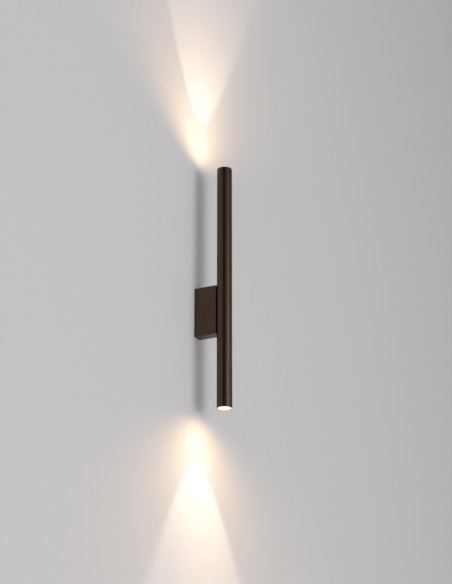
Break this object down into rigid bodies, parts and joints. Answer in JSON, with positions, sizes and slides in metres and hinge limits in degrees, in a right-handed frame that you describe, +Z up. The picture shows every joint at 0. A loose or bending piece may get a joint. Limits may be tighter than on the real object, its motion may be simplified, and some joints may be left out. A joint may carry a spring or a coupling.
{
  "type": "linear wall light",
  "caption": "Slim round tube wall light that shines up and down from its two ends, carried on a narrow wall box that locks on a steel wall bracket.",
  "frame": {"origin": "middle of the wall bracket's back face, on the wall plane", "axes": "+X along the wall to the right as seen from the room, +Y into the wall, +Z up along the tube"},
  "size_m": [0.03, 0.075, 0.5],
  "materials": {
    "bronze_finish": "satin",
    "zinc_plated_steel": "satin",
    "black_steel": "satin",
    "bare_aluminium": "satin",
    "black_rubber": "matte",
    "silicone_rubber": "matte",
    "ivory_nylon": "matte",
    "brass": "satin",
    "plated_terminal_screw": "satin",
    "earth_hardware": "satin",
    "driver_shell": "matte",
    "green_board": "satin",
    "transformer_tape": "satin",
    "capacitor_sleeve": "gloss",
    "foam_tape": "matte",
    "white_board": "satin",
    "thermal_pad": "matte",
    "led_phosphor": "satin",
    "white_holder": "matte",
    "clear_lens": "gloss",
    "frosted_cover": "satin",
    "brown_lead": "satin",
    "blue_lead": "satin",
    "green_yellow_lead": "satin",
    "red_lead": "satin",
    "black_lead": "satin",
    "white_lead": "satin"
  },
  "bodies": {
    "bracket": {"wall_bracket": "zinc_plated_steel", "cable_bush": "black_rubber"},
    "luminaire": {"black_lead": "black_lead", "driver_board": "green_board", "driver_capacitor": "capacitor_sleeve", "driver_case": "driver_shell", "driver_lid": "driver_shell", "driver_pad": "foam_tape", "driver_transformer": "transformer_tape", "earth_lead": "green_yellow_lead", "earth_screw": "earth_hardware", "earth_tag": "earth_hardware", "earth_washer": "earth_hardware", "joint_screws": "zinc_plated_steel", "joint_washers": "zinc_plated_steel", "link_lead": "white_lead", "live_lead": "brown_lead", "lower_board_screws": "zinc_plated_steel", "lower_cover_disc": "frosted_cover", "lower_cover_gasket": "silicone_rubber", "lower_heat_sink": "bare_aluminium", "lower_heat_sink_screw": "black_steel", "lower_led_board": "white_board", "lower_led_chip": "led_phosphor", "lower_lens": "clear_lens", "lower_lens_holder": "white_holder", "lower_thermal_pad": "thermal_pad", "neutral_lead": "blue_lead", "rear_box": "bronze_finish", "red_lead": "red_lead", "terminal_block": "ivory_nylon", "terminal_clamps": "brass", "terminal_screws": "plated_terminal_screw", "tube": "bronze_finish", "tube_anchor": "bare_aluminium", "upper_board_screws": "zinc_plated_steel", "upper_cover_disc": "frosted_cover", "upper_cover_gasket": "silicone_rubber", "upper_heat_sink": "bare_aluminium", "upper_heat_sink_screw": "black_steel", "upper_led_board": "white_board", "upper_led_chip": "led_phosphor", "upper_lens": "clear_lens", "upper_lens_holder": "white_holder", "upper_thermal_pad": "thermal_pad", "wire_bush": "black_rubber"},
    "upper_lock": {"upper_lock_screw": "black_steel"},
    "lower_lock": {"lower_lock_screw": "black_steel"}
  },
  "joints": [
    {"name": "light_lifts_off", "type": "slide", "parent": "bracket", "child": "luminaire", "axis": [0, -1, 0], "range_m": [0, 0.03]},
    {"name": "upper_lock_backs_out", "type": "slide", "parent": "luminaire", "child": "upper_lock", "axis": [0, 0, 1], "range_m": [0, 0.002]},
    {"name": "lower_lock_backs_out", "type": "slide", "parent": "luminaire", "child": "lower_lock", "axis": [0, 0, -1], "range_m": [0, 0.002]}
  ]
}
